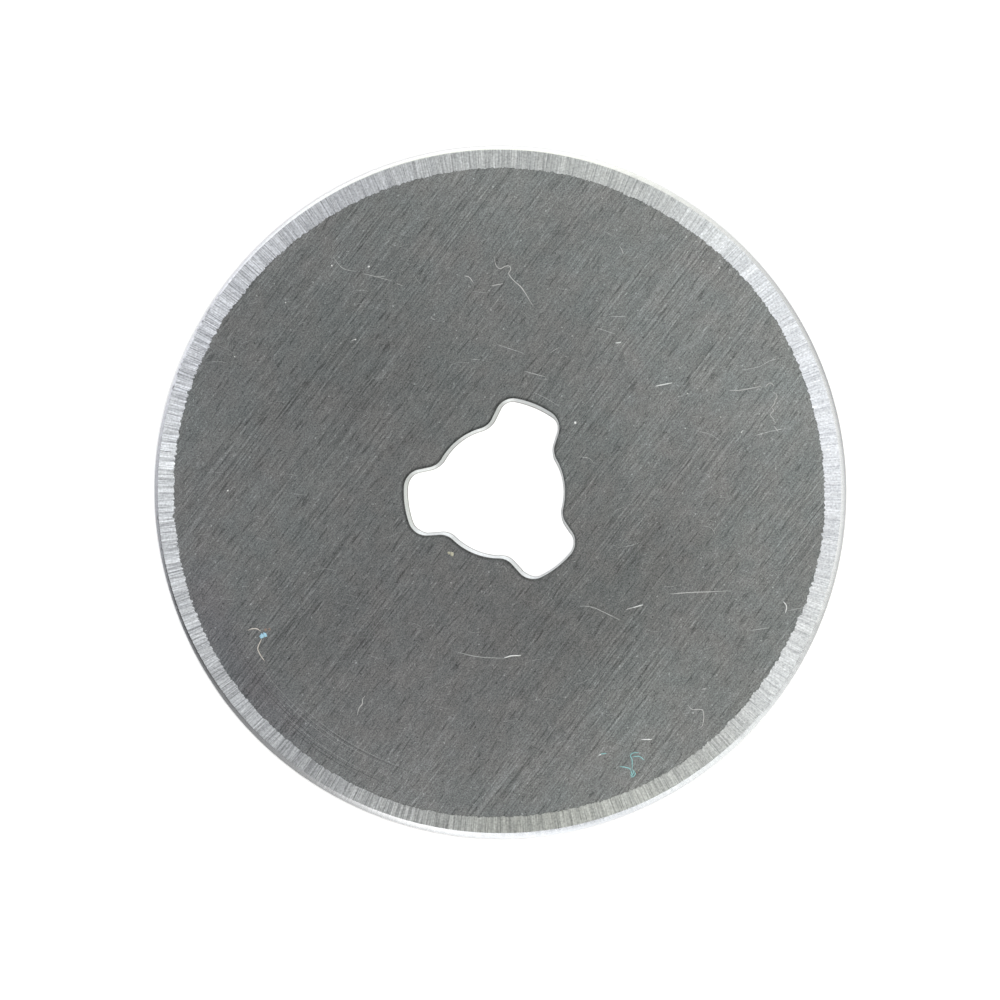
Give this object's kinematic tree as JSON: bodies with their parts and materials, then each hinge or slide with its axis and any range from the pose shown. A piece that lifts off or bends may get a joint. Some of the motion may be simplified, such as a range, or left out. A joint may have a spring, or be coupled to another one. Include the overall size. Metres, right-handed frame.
{
  "type": "rotary cutter blade",
  "caption": "Round flat cutting blade of thin steel with a ground and honed edge all round and a round hub hole opened out by rounded notches.",
  "frame": {"origin": "centre of the disc on its mid-plane", "axes": "+Z along the disc's own axis; the two faces are alike; one notch of the hub hole points along -X"},
  "size_m": [0.045, 0.045, 0.0004],
  "materials": {
    "blade_steel": "dark tool steel with a fine straight grinding grain, bright ground bevel and honed rim"
  },
  "bodies": {
    "root": {"blade": "blade_steel"}
  },
  "joints": []
}
